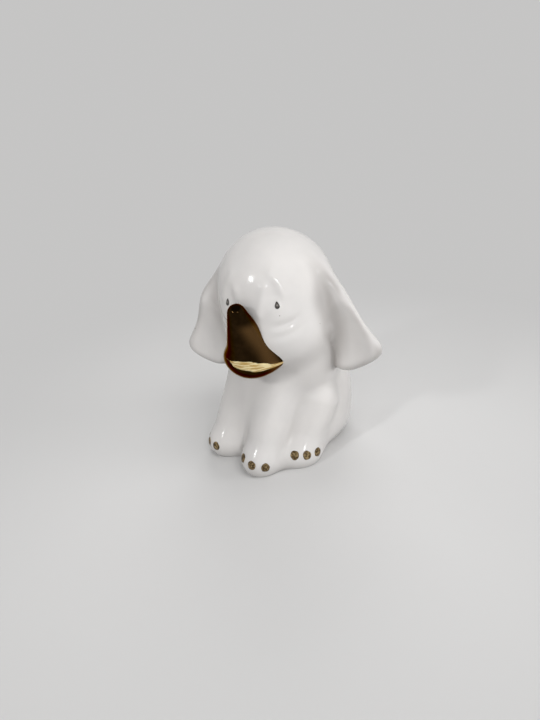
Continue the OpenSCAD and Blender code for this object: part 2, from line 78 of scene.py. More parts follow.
# Ears
EAR_REACH = 47.5
EAR_RISE = 16
EAR_DROP = 32
EAR_THICKNESS = 8
EAR_SWEEP = 7.5
EAR_PLANE_Y = 4
EAR_BEND_FROM = 17
EAR_BEND_LENGTH = 16
EAR_UPPER_SLOPE = math.radians(56)
EAR_WAVE = 3
EAR_WAVE_MIDDLE = 22
EAR_WAVE_LENGTH = 16
EAR_LOWER_SLOPE = math.radians(55)
EAR_TIP_DROP = 22
EAR_HOLLOW_AT = (31.5, -8, -16)
EAR_HOLLOW_SIZE = (8.5, 7, 13.5)

# Trunk and lip
TRUNK_ROOT = (-2, -23, -16)
TRUNK_TIP = (-0.7, -29.5, 3)
TRUNK_RADII = (9.2, 3.5)
LIP_AT = (-2, -19.5, -18.5)
LIP_SIZE = (13.5, 9, 6.5)

# Body and legs, the legs on the figure's left side
BELLY = ((0, 15.5, 21.5), (25, 27, 26.5))
SEAT = ((0, 11.5, 8), (23.5, 28, 13))
SHOULDER = ((0, 9, 42), (21.5, 20.5, 22))
CHEST = ((0, -1.5, 13), (13, 12.5, 27))
NAPE = ((7.5, 10, 48), (21, 18, 26))
FRONT_FOOT = ((11.5, -18, 5), (7.2, 8, 6.5))
FRONT_LEG = ((10.5, -0.5, 39), (11.3, -17, 6), 8, 7.9)
HIND_FOOT = ((20, -2.5, 4.2), (7, 8, 6))
HIND_LEG = ((20, 9.5, 25), (20, -1, 5), 8.5, 6.3)
TAIL = ((0, 41.5, 23), (0, 37.5, 7.5), 3, 2.6)

# Hollow left by the poured slip, and the pour hole in the base
BODY_HOLLOW_AT = np.array([0, 14, 26])
BODY_HOLLOW_RADIUS = 16
POUR_HOLE_AT = np.array([0, 16, 0])
POUR_HOLE_RADIUS = 5

# How softly neighbouring forms melt together
HEAD_BLEND = 10
CROWN_BLEND = 4
EAR_BLEND = 8
EAR_RIM_BLEND = 5
EAR_CORNER_BLEND = 6
EAR_TOP_BLEND = 14
EAR_HOLLOW_BLEND = 4
LIP_BLEND = 6
NECK_BLEND = 4
NECK_FILL = 8
NECK_FILL_FROM = -12
NECK_FILL_LENGTH = 20
BODY_BLEND = 9
NAPE_BLEND = 4
FRONT_BLEND = 4.5
HIND_BLEND = 3.5
GROUND_BLEND = 9
GROUND_REACH = 16
FOOT_BLEND = 5
TAIL_BLEND = 1

# Joints between the pieces
NECK_LEVEL = 50.5
NECK_SLOPE = (-0.21, 0.32)
EAR_SEAM = 19.5
EAR_SEAM_LEAN = math.radians(16)
FRONT_SEAM_Y = -11.5
FRONT_SEAM_LEAN = math.radians(10)
HIND_SEAM_X = 7
HIND_SEAM_LEAN = math.radians(28)
HIND_TOP = 35

# Painted decoration
PUPIL_SIDE = 1.3
PUPIL_SPACING = 20.8
PUPIL_LEVELS = {1: 2.8, -1: 4.3}
PUPIL_HALF = (0.85, 1.4)
PUPIL_POINT = 0.45
ENAMEL = 0.25
NAIL_HALF = (1.8, 2.0)
LUSTRE = 0.3
FILM_GAP = 0.05

# Fineness of the meshes
FIGURE_STEP = 0.85
TRUNK_STEP = 0.5


# Distances from simple forms, and their soft union and soft intersection
def egg(p, at, size):
    q = (p - np.array(at, float)) / np.array(size, float)
    a = np.linalg.norm(q, axis=-1)
    b = np.linalg.norm(q / np.array(size, float), axis=-1)
    return a * (a - 1) / np.maximum(b, 1e-9)


def rod(p, a, b, ra, rb):
    a, b = np.array(a, float), np.array(b, float)
    length = np.linalg.norm(b - a)
    way = (b - a) / length
    taper = (rb - ra) / length
    along = (p - a) @ way
    across = np.linalg.norm(p - a - along[..., None] * way, axis=-1)
    h = np.clip((along + taper * across / math.sqrt(1 - taper * taper)) / length, 0, 1)
    return np.linalg.norm(p - a - h[..., None] * (b - a), axis=-1) - ra - (rb - ra) * h


def melt(a, b, k):
    h = np.maximum(k - np.abs(a - b), 0) / k
    return np.minimum(a, b) - h * h * k / 4


def pare(a, b, k):
    return -melt(-a, -b, k)


def smooth(t):
    t = np.clip(t, 0, 1)
    return t * t * (3 - 2 * t)


def twin(p):
    return np.abs(p[..., :1] * (1, 0, 0)) + p * (0, 1, 1)


HEAD_AXES = np.array([
    [math.cos(HEAD_LEAN), 0, math.sin(HEAD_LEAN)],
    [0, 1, 0],
    [-math.sin(HEAD_LEAN), 0, math.cos(HEAD_LEAN)],
]) @ np.array([
    [math.cos(HEAD_TURN), math.sin(HEAD_TURN), 0],
    [-math.sin(HEAD_TURN), math.cos(HEAD_TURN), 0],
    [0, 0, 1],
])


def to_head(p):
    return (p - HEAD_CENTRE) @ HEAD_AXES.T


def from_head(q):
    return np.asarray(q, float) @ HEAD_AXES + HEAD_CENTRE


# Shallow modelling around the eyes, as a height over the plain skull. Places are across
# and up from the middle of the face, and both sides are alike.
EYE_AT = (10.4, 3.2)
BROW = ((8.2, 14.5), (13.2, 5.8), 1.8, 0.42)
NOSE_RIDGE = ((5.9, 9.2), (3.4, 0.2), 1.9, 0.45)
LID_VALLEY = ((9.0, 9.0), (8.6, 6.5), 2.6, -0.35)
EYE_BULGE = ((10.8, 0.6), (10.8, 0.4), 5.0, 0.6)
BAGS = ((8.3, 1.5, -0.7), (12.1, 1.7, -0.4))
BAG_MIDDLE = math.radians(-74)
BAG_SPREAD = math.radians(27)
FACE_FRONT_Y = -6
FACE_FADE = 6


def ridge(u, a, b, width, height):
    a, b = np.array(a, float), np.array(b, float)
    h = np.clip((u - a) @ (b - a) / ((b - a) @ (b - a)), 0, 1)
    d = np.linalg.norm(u - a - h[..., None] * (b - a), axis=-1)
    return height * np.exp(-(d / width) ** 2)


def relief(q):
    u = np.stack([np.abs(q[..., 0] - PUPIL_SIDE), q[..., 2]], -1)
    height = sum(ridge(u, *form) for form in (BROW, NOSE_RIDGE, LID_VALLEY, EYE_BULGE))
    v = u - np.array(EYE_AT)
    around = np.linalg.norm(v, axis=-1)
    angle = np.arctan2(v[..., 1], v[..., 0])
    lower = np.exp(-((angle - BAG_MIDDLE) / BAG_SPREAD) ** 2)
    for radius, width, depth in BAGS:
        height = height + depth * lower * np.exp(-((around - radius) / width) ** 2)
    return height * smooth((FACE_FRONT_Y - q[..., 1]) / FACE_FADE)


def plain_skull(q):
    dome = melt(egg(q, SKULL_AT, SKULL_SIZE), egg(q, CROWN_AT, CROWN_SIZE), CROWN_BLEND)
    return melt(dome, egg(q, MUZZLE_AT, MUZZLE_SIZE), HEAD_BLEND)


def skull(q):
    return plain_skull(q) - relief(q)


def ear_middle(x):
    return EAR_PLANE_Y - EAR_SWEEP * smooth((x - EAR_BEND_FROM) / EAR_BEND_LENGTH)


def ear(q):
    x, z = np.abs(q[..., 0]), q[..., 2]
    y = q[..., 1] - ear_middle(x)
    out, down = x - EAR_REACH, z + EAR_TIP_DROP
    upper = out * math.sin(EAR_UPPER_SLOPE) + down * math.cos(EAR_UPPER_SLOPE)
    along = down * math.sin(EAR_UPPER_SLOPE) - out * math.cos(EAR_UPPER_SLOPE)
    w = (along - EAR_WAVE_MIDDLE) / EAR_WAVE_LENGTH
    upper = upper - EAR_WAVE * w * np.exp(-w * w)
    corner = out * math.cos(EAR_LOWER_SLOPE) - down * math.sin(EAR_LOWER_SLOPE)
    outline = pare(pare(upper, corner, EAR_CORNER_BLEND), -z - EAR_DROP, EAR_CORNER_BLEND)
    outline = pare(outline, z - EAR_RISE, EAR_TOP_BLEND)
    plate = pare(outline, np.abs(y) - EAR_THICKNESS / 2, EAR_RIM_BLEND)
    hollow = egg(np.stack([x, y, z], -1), EAR_HOLLOW_AT, EAR_HOLLOW_SIZE)
    return pare(plate, -hollow, EAR_HOLLOW_BLEND)


def trunk(q):
    return melt(rod(q, TRUNK_ROOT, TRUNK_TIP, *TRUNK_RADII), egg(q, LIP_AT, LIP_SIZE), LIP_BLEND)


def body(p):
    form = egg(p, *BELLY)
    for other in (SEAT, SHOULDER, CHEST):
        form = melt(form, egg(p, *other), BODY_BLEND)
    form = melt(form, egg(p, *NAPE), NAPE_BLEND)
    t = twin(p)
    low = smooth(1 - p[..., 2] / GROUND_REACH)
    for leg, foot, blend in ((FRONT_LEG, FRONT_FOOT, FRONT_BLEND), (HIND_LEG, HIND_FOOT, HIND_BLEND)):
        softness = blend + (GROUND_BLEND - blend) * low
        form = melt(form, melt(rod(t, *leg), egg(t, *foot), FOOT_BLEND), softness)
    return form


def slip_hollow(p):
    bore = np.maximum(np.linalg.norm((p - POUR_HOLE_AT)[..., :2], axis=-1) - POUR_HOLE_RADIUS,
                      p[..., 2] - BODY_HOLLOW_AT[2])
    return np.minimum(np.linalg.norm(p - BODY_HOLLOW_AT, axis=-1) - BODY_HOLLOW_RADIUS, bore)


def figure(p):
    """The whole outside: the neck is fuller at its back, and the ears melt into the head alone."""
    q = to_head(p)
    head, lower = skull(q), body(p)
    fill = NECK_BLEND + (NECK_FILL - NECK_BLEND) * smooth((q[..., 1] - NECK_FILL_FROM) / NECK_FILL_LENGTH)
    return np.minimum(melt(head, lower, fill), melt(head, ear(q), EAR_BLEND))


def hollow_figure(p):
    return np.maximum(figure(p), -slip_hollow(p))


def trunk_in_place(p):
    return trunk(to_head(p))


def tailed(p):
    return melt(body(p), rod(p, *TAIL), TAIL_BLEND)


# Distances past the joint planes, above zero on the outer, upper or front side
def past_ear_seam(p, side):
    q = to_head(p)
    return side * q[..., 0] * math.cos(EAR_SEAM_LEAN) + q[..., 2] * math.sin(EAR_SEAM_LEAN) - EAR_SEAM


def past_neck(p):
    return p[..., 2] - NECK_LEVEL - p[..., :2] @ np.array(NECK_SLOPE)


def past_front_seam(p):
    return (FRONT_SEAM_Y - p[..., 1]) * math.cos(FRONT_SEAM_LEAN) + p[..., 2] * math.sin(FRONT_SEAM_LEAN)


def past_hind_seam(p, side):
    out = (side * p[..., 0] - HIND_SEAM_X) * math.cos(HIND_SEAM_LEAN) - p[..., 2] * math.sin(HIND_SEAM_LEAN)
    return np.minimum(out, HIND_TOP - p[..., 2])


# Surfaces of forms
def slope(form, p, e=0.02):
    g = np.stack([form(p + k) - form(p - k) for k in np.eye(3) * e], -1) / (2 * e)
    return g / np.maximum(np.linalg.norm(g, axis=-1), 1e-9)[..., None]


def settle(form, p, turns=3):
    """Points moved onto a form's surface."""
    for _ in range(turns):
        p = p - form(p)[..., None] * slope(form, p)
    return p


def leave(form, start, way, reach, turns=26):
    """Where rays from inside a form leave it."""
    low = np.zeros(start.shape[:-1])
    high = np.full(start.shape[:-1], float(reach))
    for _ in range(turns):
        middle = (low + high) / 2
        inside = form(start + middle[..., None] * way) < 0
        low, high = np.where(inside, middle, low), np.where(inside, high, middle)
    return start + low[..., None] * way


def net(form, low, high, step):
    """Points and triangles of a form's surface: one point in each crossed cell of a grid."""
    axes = [np.arange(a, b + step, step) for a, b in zip(low, high)]
    value = np.stack([form(np.stack(np.meshgrid([x], *axes[1:], indexing="ij"), -1))[0] for x in axes[0]])
    inside = value < 0
    n = np.array(value.shape) - 1
    ends = [(slice(0, m), slice(1, m + 1)) for m in n]
    corners = [inside[ends[0][i], ends[1][j], ends[2][k]] for i in (0, 1) for j in (0, 1) for k in (0, 1)]
    crossed = np.any(corners, axis=0) & ~np.all(corners, axis=0)
    number = np.full(crossed.shape, -1)
    number[crossed] = np.arange(crossed.sum())
    cells = np.argwhere(crossed)
    points = np.array([a[0] for a in axes]) + (cells + 0.5) * step
    quads = []
    for axis in range(3):
        u, v = (axis + 1) % 3, (axis + 2) % 3
        cuts = slice(0, -1), slice(1, None)
        before, after = [inside.swapaxes(0, axis)[cut].swapaxes(0, axis) for cut in cuts]
        edges = np.argwhere(before != after)
        edges = edges[(edges[:, u] > 0) & (edges[:, v] > 0) & (edges[:, u] < n[u]) & (edges[:, v] < n[v])]
        back_u, back_v = np.eye(3, dtype=int)[u], np.eye(3, dtype=int)[v]
        around = [edges - back_u - back_v, edges - back_v, edges, edges - back_u]
        quad = np.stack([number[tuple(cell.T)] for cell in around], -1)
        leaving = before[tuple(edges.T)]
        quads.append(np.where(leaving[:, None], quad, quad[:, ::-1]))
    quads = np.concatenate(quads)
    points = settle(form, relax(points, quads, form))
    return points, split(points, quads)


def relax(points, quads, form, turns=4):
    """Points of a net evened out along the surface."""
    ends = np.concatenate([quads[:, [0, 1]], quads[:, [1, 2]], quads[:, [2, 3]], quads[:, [3, 0]]])
    ends = np.concatenate([ends, ends[:, ::-1]])
    count = np.bincount(ends[:, 0], minlength=len(points))[:, None]
    points = settle(form, points)
    for _ in range(turns):
        sums = [
            np.bincount(ends[:, 0], weights=points[ends[:, 1], k], minlength=len(points)) for k in range(3)
        ]
        points = settle(form, (points + np.stack(sums, -1) / count) / 2, 1)
    return points


def split(points, quads):
    """Quads cut along their shorter diagonals."""
    across = np.linalg.norm(points[quads[:, 0]] - points[quads[:, 2]], axis=1)
    along = np.linalg.norm(points[quads[:, 1]] - points[quads[:, 3]], axis=1)
    turned = np.where((across <= along)[:, None], quads, np.roll(quads, -1, axis=1))
    return np.concatenate([turned[:, [0, 1, 2]], turned[:, [0, 2, 3]]])


class Shell:
    """A triangle mesh in millimetres. A face marked flat is a joint face, and not part of the skin."""

    def __init__(self, points, faces, flat=None):
        self.points = np.asarray(points, float)
        self.faces = np.asarray(faces, int)
        self.flat = np.zeros(len(self.faces), bool) if flat is None else flat

    def compact(self):
        used, faces = np.unique(self.faces, return_inverse=True)
        return Shell(self.points[used], faces.reshape(-1, 3), self.flat)

    def clip(self, value):
        """What lies where a value is above zero, cut straight through the faces on the way."""
        value = np.where(np.abs(value) < 1e-7, 1e-7, value)
        keep = value > 0
        kept = keep[self.faces]
        count = kept.sum(1)
        mixed = (count == 1) | (count == 2)
        faces, lone_kept = self.faces[mixed], count[mixed] == 1
        first = np.argmax(kept[mixed] == lone_kept[:, None], axis=1)
        faces = np.take_along_axis(faces, (first[:, None] + np.arange(3)) % 3, 1)
        ends = np.sort(np.concatenate([faces[:, [0, 1]], faces[:, [0, 2]]]), axis=1)
        ends, index = np.unique(ends, axis=0, return_inverse=True)
        t = value[ends[:, 0]] / (value[ends[:, 0]] - value[ends[:, 1]])
        cut = self.points[ends[:, 0]] + t[:, None] * (self.points[ends[:, 1]] - self.points[ends[:, 0]])
        a, b = np.split(index.ravel() + len(self.points), 2)
        tips = np.stack([faces[:, 0], a, b], -1)[lone_kept]
        rest = ~lone_kept
        wide = np.stack([a, faces[:, 1], faces[:, 2]], -1)[rest]
        thin = np.stack([a, faces[:, 2], b], -1)[rest]
        flat = self.flat[mixed]
        return Shell(
            np.concatenate([self.points, cut]),
            np.concatenate([self.faces[count == 3], tips, wide, thin]),
            np.concatenate([self.flat[count == 3], flat[lone_kept], flat[rest], flat[rest]]),
        ).compact()

    def open_loops(self):
        """Rings of point numbers along the open edges, each in the order that closes the shell."""
        edges = np.concatenate([self.faces[:, [0, 1]], self.faces[:, [1, 2]], self.faces[:, [2, 0]]])
        there = set(map(tuple, edges))
        following = {b: a for a, b in there if (b, a) not in there}
        loops = []
        while following:
            start, following_point = following.popitem()
            loop = [start]
            while following_point != start:
                loop.append(following_point)
                following_point = following.pop(following_point)
            loops.append(loop)
        return loops

    def capped(self):
        """The shell with its open loops closed by flat faces."""
        loops = self.open_loops()
        numbers = [number for loop in loops for number in loop]
        rings = [[Vector(self.points[number]) for number in loop] for loop in loops]
        faces = np.array([[numbers[k] for k in face] for face in tessellate_polygon(rings)])
        edges = {(a, b) for loop in loops for a, b in zip(loop, loop[1:] + loop[:1])}
        ways = [tuple(face[[k, (k + 1) % 3]]) for face in faces for k in range(3)]
        if sum(way in edges for way in ways) < sum(way[::-1] in edges for way in ways):
            faces = faces[:, ::-1]
        flat = np.concatenate([self.flat, np.ones(len(faces), bool)])
        return Shell(self.points, np.concatenate([self.faces, faces]), flat)

    def part_with(self, point):
        """The connected part that holds the point nearest to a place."""
        label = np.arange(len(self.points))
        while True:
            lowest = label[self.faces].min(1)
            new = label.copy()
            np.minimum.at(new, self.faces.ravel(), np.repeat(lowest, 3))
            new = new[new]
            if (new == label).all():
                break
            label = new
        nearest = np.argmin(np.linalg.norm(self.points - point, axis=1))
        chosen = (label == label[nearest])[self.faces[:, 0]]
        return Shell(self.points, self.faces[chosen], self.flat[chosen]).compact()


def skin(rings, first, last):
    """Closed shell over a stack of equal rings, with a point at each end."""
    m, n = rings.shape[:2]
    points = np.concatenate([[first], rings.reshape(-1, 3), [last]])
    j = np.arange(n)
    k = (j + 1) % n
    faces = [np.stack([0 * j, 1 + j, 1 + k], -1)]
    for i in range(m - 1):
        a, b = 1 + i * n + j, 1 + i * n + k
        faces += [np.stack([a, a + n, b], -1), np.stack([b, a + n, b + n], -1)]
    end = 1 + (m - 1) * n
    faces.append(np.stack([0 * j + len(points) - 1, end + k, end + j], -1))
    return Shell(points, np.concatenate(faces))


# Blender objects
def shading_normals(shell, form):
    """Normals of the face corners: the form's own slope on the skin, and the face's on a joint face."""
    corners = slope(form, shell.points)[shell.faces]
    a, b, c = (shell.points[shell.faces[:, k]] for k in range(3))
    face = np.cross(b - a, c - a)
    face /= np.maximum(np.linalg.norm(face, axis=1), 1e-12)[:, None]
    corners[shell.flat] = face[shell.flat][:, None]
    return corners.reshape(-1, 3)


def make(name, node, shell, form, material):
    """A piece that stands for a node, shaded by the slope of the form that it was made from."""
    low, high = (np.array(corner) for corner in cad_box)
    mesh = bpy.data.meshes.new(name)
    mesh.from_pydata(np.clip(shell.points * MM, low, high).tolist(), [], shell.faces.tolist())
    mesh.polygons.foreach_set("use_smooth", np.ones(len(shell.faces), bool))
    if form is not None:
        mesh.normals_split_custom_set(shading_normals(shell, form).tolist())
    mesh.materials.append(material)
    piece = bpy.data.objects.new(name, mesh)
    bpy.context.scene.collection.objects.link(piece)
    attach(piece, "root")
    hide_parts(node)
    return piece


def attribute(piece, name, values):
    layer = piece.data.attributes.new(name, "FLOAT", "POINT")
    layer.data.foreach_set("value", np.asarray(values, np.float32))


# Node helpers
def new_material(name):
    material = bpy.data.materials.new(name)
    material.use_nodes = True
    return material, material.node_tree, material.node_tree.nodes["Principled BSDF"]


def add_node(tree, kind, inputs=None, **settings):
    node = tree.nodes.new(kind)
    for key, value in settings.items():
        setattr(node, key, value)
    for key, value in (inputs or {}).items():
        if isinstance(value, bpy.types.NodeSocket):
            tree.links.new(value, node.inputs[key])
        else:
            node.inputs[key].default_value = value
    return node


def ramp(tree, factor, stops):
    """A colour ramp over a factor, from (position, colour) stops."""
    node = add_node(tree, "ShaderNodeValToRGB", {"Fac": factor})
    elements = node.color_ramp.elements
    while len(elements) < len(stops):
        elements.new(0.5)
    for element, (position, colour) in zip(elements, stops):
        element.position = position
        element.color = (*colour, 1)
    return node.outputs["Color"]


def mix(tree, factor, a, b):
    node = add_node(tree, "ShaderNodeMix", {"Factor": factor}, data_type="RGBA")
    for socket, value in zip(node.inputs[6:8], (a, b)):
        if isinstance(value, bpy.types.NodeSocket):
            tree.links.new(value, socket)
        else:
            socket.default_value = (*value, 1)
    return node.outputs[2]


def maths(tree, operation, a, b=0.0):
    return add_node(tree, "ShaderNodeMath", {0: a, 1: b}, operation=operation).outputs[0]


def noise(tree, place, scale, detail=3.0, roughness=0.55):
    settings = {"Vector": place, "Scale": scale, "Detail": detail, "Roughness": roughness}
    return add_node(tree, "ShaderNodeTexNoise", settings).outputs["Fac"]


def between(tree, value, low, high):
    """0 below low, 1 above high, and smooth between them."""
    settings = {"Value": value, "From Min": low, "From Max": high}
    return add_node(tree, "ShaderNodeMapRange", settings, interpolation_type="SMOOTHSTEP").outputs["Result"]


def spread(tree, value, ends):
    """A factor from 0 to 1, laid out between two ends."""
    settings = {"Value": value, "To Min": ends[0], "To Max": ends[1]}
    return add_node(tree, "ShaderNodeMapRange", settings).outputs["Result"]


def rough_surface(tree, shader, height, strength, depth):
    """Small unevenness of a surface, from a height between 0 and 1 and its depth in metres."""
    bump = add_node(tree, "ShaderNodeBump", {"Strength": strength, "Distance": depth, "Height": height})
    tree.links.new(bump.outputs["Normal"], shader.inputs["Normal"])


# Materials: colours, noise scales per metre, and ranges of roughness
PORCELAIN_WHITE = (0.80, 0.775, 0.755)
PORCELAIN_GREY = (0.745, 0.725, 0.71)
# Colour of the painted shade in creases and in the ears' hollows
CREASE_SHADE_COLOUR = (0.44, 0.415, 0.395)
SPECK_BROWN = (0.25, 0.21, 0.18)
SPECKS = (((12.2, -20.8, -1.2), 0.22), ((21.0, -9.5, -9.0), 0.2), ((-38.5, -4.0, -14.0), 0.3))
GLAZE_TONE_SCALE = 38
GLAZE_GLOSS_SCALE = 120
GLAZE_ROUGHNESS = (0.1, 0.17)
GLAZE_RIPPLE_SCALE = 90
GLAZE_RIPPLE = (0.12, 0.0006)
GLAZE_IOR = 1.5
# The gold's dark colours are a painted dark reflection of dark surroundings, not the lustre's own colour
GOLD_PAINTED_DARK_REFLECTION = (0.018, 0.0095, 0.0035)
GOLD_PAINTED_DARK_MOTTLE = (0.03, 0.016, 0.006)
# Painted warm reflection down one side of the trunk
GOLD_PAINTED_WARM_REFLECTION = (0.12, 0.064, 0.023)
# Painted pale reflection along the lip, with darker strands in it
GOLD_PAINTED_PALE_REFLECTION = (0.95, 0.82, 0.48)
GOLD_PAINTED_REFLECTION_STRAND = (0.58, 0.38, 0.13)
GOLD_EDGE = (0.6, 0.42, 0.2)
GOLD_MOTTLE_SCALE = 420
STRAND_STRETCH = (0.3, 0.3, 2.4)
STRAND_SCALE = 700
BAND_WAVE_SCALE = 260
BAND_WAVE = 1.7
STREAK_PAINT = 0.12
GOLD_METAL = (1.0, 0.2)
GOLD_GLOSS_SCALE = 260
GOLD_ROUGHNESS = (0.06, 0.14)
GOLD_RIPPLE_SCALE = 200
GOLD_RIPPLE = (0.2, 0.0004)
NAIL_SPECKLE_SCALE = 1100
# Nail colours: random wear, kept dark partly as a painted dark reflection
NAIL_WEAR_AND_DARK_REFLECTION_COLOURS = ((0.36, (0.03, 0.019, 0.008)), (0.5, (0.15, 0.095, 0.035)), (0.64, (0.4, 0.3, 0.15)))
NAIL_METAL = 0.45
NAIL_ROUGHNESS = (0.42, 0.2)
NAIL_GRAIN = (0.35, 0.0001)
BRUSH_SCALE = 2200
BRUSH_SHARE = 0.25
PUPIL_COLOURS = ((0.2, (0.3, 0.27, 0.24)), (0.55, (0.07, 0.062, 0.056)), (0.95, (0.045, 0.04, 0.036)))
PUPIL_ROUGHNESS = (0.12, 0.25)


def porcelain_material():
    material, tree, shader = new_material("porcelain_glaze")
    place = add_node(tree, "ShaderNodeTexCoord").outputs["Object"]
    tone = between(tree, noise(tree, place, GLAZE_TONE_SCALE, 4), 0.35, 0.65)
    colour = mix(tree, tone, PORCELAIN_WHITE, PORCELAIN_GREY)
    # Painted shade: the glaze is darkened in creases and in the ears' hollows, where shade falls
    painted_shade = add_node(tree, "ShaderNodeAttribute", attribute_name="painted_shade").outputs["Fac"]
    colour = mix(tree, painted_shade, colour, CREASE_SHADE_COLOUR)
    for at, radius in SPECKS:
        centre = tuple(settle(figure, from_head(at)) * MM)
        away = add_node(tree, "ShaderNodeVectorMath", {0: place, 1: centre}, operation="DISTANCE")
        bare = between(tree, away.outputs["Value"], 0.5 * radius * MM, radius * MM)
        colour = mix(tree, bare, SPECK_BROWN, colour)
    tree.links.new(colour, shader.inputs["Base Color"])
    gloss = between(tree, noise(tree, place, GLAZE_GLOSS_SCALE, 3), 0.3, 0.7)
    tree.links.new(spread(tree, gloss, GLAZE_ROUGHNESS), shader.inputs["Roughness"])
    rough_surface(tree, shader, noise(tree, place, GLAZE_RIPPLE_SCALE, 2), *GLAZE_RIPPLE)
    shader.inputs["IOR"].default_value = GLAZE_IOR
    return material


def gold_material():
    """Gold lustre: a metal whose dark colour is a painted dark reflection, with a painted warm reflection
    down one side and a painted pale reflection along the lip.
    """
    material, tree, shader = new_material("gold_lustre_painted_reflections")
    place = add_node(tree, "ShaderNodeTexCoord").outputs["Object"]
    warm_reflection_paint = add_node(tree, "ShaderNodeAttribute", attribute_name="warm_reflection_paint").outputs["Fac"]
    pale_reflection_paint = add_node(tree, "ShaderNodeAttribute", attribute_name="pale_reflection_paint").outputs["Fac"]
    mottle = noise(tree, place, GOLD_MOTTLE_SCALE, 5, 0.6)
    # Painted dark reflection over the whole gold, mottled
    dark = mix(tree, between(tree, mottle, 0.35, 0.75), GOLD_PAINTED_DARK_REFLECTION, GOLD_PAINTED_DARK_MOTTLE)
    # Painted warm reflection down one side
    colour = mix(tree, warm_reflection_paint, dark, GOLD_PAINTED_WARM_REFLECTION)
    stretched = add_node(tree, "ShaderNodeMapping", {"Vector": place, "Scale": STRAND_STRETCH})
    strand = noise(tree, stretched.outputs["Vector"], STRAND_SCALE, 3)
    # Painted pale reflection along the lip, with a wavy upper edge
    pale = mix(tree, between(tree, strand, 0.4, 0.6), GOLD_PAINTED_PALE_REFLECTION, GOLD_PAINTED_REFLECTION_STRAND)
    ripple = maths(tree, "SUBTRACT", noise(tree, stretched.outputs["Vector"], BAND_WAVE_SCALE, 3), 0.5)
    wavy = maths(tree, "ADD", pale_reflection_paint, maths(tree, "MULTIPLY", ripple, BAND_WAVE))
    on_band = between(tree, wavy, 0.45, 0.6)
    colour = mix(tree, on_band, colour, pale)
    tree.links.new(colour, shader.inputs["Base Color"])
    painted = maths(tree, "MAXIMUM", on_band, maths(tree, "MULTIPLY", warm_reflection_paint, STREAK_PAINT))
    tree.links.new(spread(tree, painted, GOLD_METAL), shader.inputs["Metallic"])
    shader.inputs["Specular Tint"].default_value = (*GOLD_EDGE, 1)
    rough = between(tree, noise(tree, place, GOLD_GLOSS_SCALE, 4), 0.3, 0.75)
    tree.links.new(spread(tree, rough, GOLD_ROUGHNESS), shader.inputs["Roughness"])
    rough_surface(tree, shader, noise(tree, place, GOLD_RIPPLE_SCALE, 2), *GOLD_RIPPLE)
    return material


def nail_material():
    """Gold brushed thinly on the toes, worn and speckled with brown; the dark brown is partly a painted
    dark reflection.
    """
    material, tree, shader = new_material("gold_lustre_worn_dark_reflection")
    place = add_node(tree, "ShaderNodeTexCoord").outputs["Object"]
    speckle = noise(tree, place, NAIL_SPECKLE_SCALE, 4, 0.65)
    tree.links.new(ramp(tree, speckle, NAIL_WEAR_AND_DARK_REFLECTION_COLOURS), shader.inputs["Base Color"])
    shader.inputs["Metallic"].default_value = NAIL_METAL
    tree.links.new(spread(tree, speckle, NAIL_ROUGHNESS), shader.inputs["Roughness"])
    rough_surface(tree, shader, speckle, *NAIL_GRAIN)
    return material


def pupil_material():
    """Thin dark enamel, brushed on with a paler middle."""
    material, tree, shader = new_material("pupil_enamel_grey")
    place = add_node(tree, "ShaderNodeTexCoord").outputs["Object"]
    out = add_node(tree, "ShaderNodeAttribute", attribute_name="out").outputs["Fac"]
    strokes = maths(tree, "MULTIPLY", noise(tree, place, BRUSH_SCALE, 2), BRUSH_SHARE)
    brushed = maths(tree, "ADD", out, strokes)
    tree.links.new(ramp(tree, brushed, PUPIL_COLOURS), shader.inputs["Base Color"])
    tree.links.new(spread(tree, brushed, PUPIL_ROUGHNESS), shader.inputs["Roughness"])
    return material


PORCELAIN = porcelain_material()
GOLD = gold_material()
WORN_GOLD_DARK_REFLECTION = nail_material()
PUPIL = pupil_material()


# Porcelain pieces: one skin over the whole figure, parted along the joints
FIGURE_LOW = (-42, -30, -1.7)
FIGURE_HIGH = (54, 50, 101)
EAR_TIP = (44, -4, -22)
# Painted shade in creases and in the ears' hollows: reach, share, openness where it starts, range
CREASE_SHADE = (2.0, 0.6, 0.93, 0.55)
HOLLOW_SHADE = (9.0, 0.8, 0.85, 0.8)
HOLLOW_FROM_X = 23
HOLLOW_FADE = 4


def enclosed(form, points, reach, share, start, extent):
    """How little room points of a surface have in front of them: 0 on an open surface."""
    room = form(points + reach * slope(form, points)) / reach
    return share * smooth((start - room) / extent)


# Share of painted shade at points of the skin: in creases everywhere, and in the hollows of the ears
def painted_shade(form, points):
    on_ear = smooth((np.abs(to_head(points)[:, 0]) - HOLLOW_FROM_X) / HOLLOW_FADE)
    return np.clip(enclosed(form, points, *CREASE_SHADE) + on_ear * enclosed(form, points, *HOLLOW_SHADE), 0, 1)


def porcelain_piece(node, shell, form=hollow_figure):
    piece = make("porcelain_" + node, node, shell, form, PORCELAIN)
    attribute(piece, "painted_shade", painted_shade(form, shell.points))


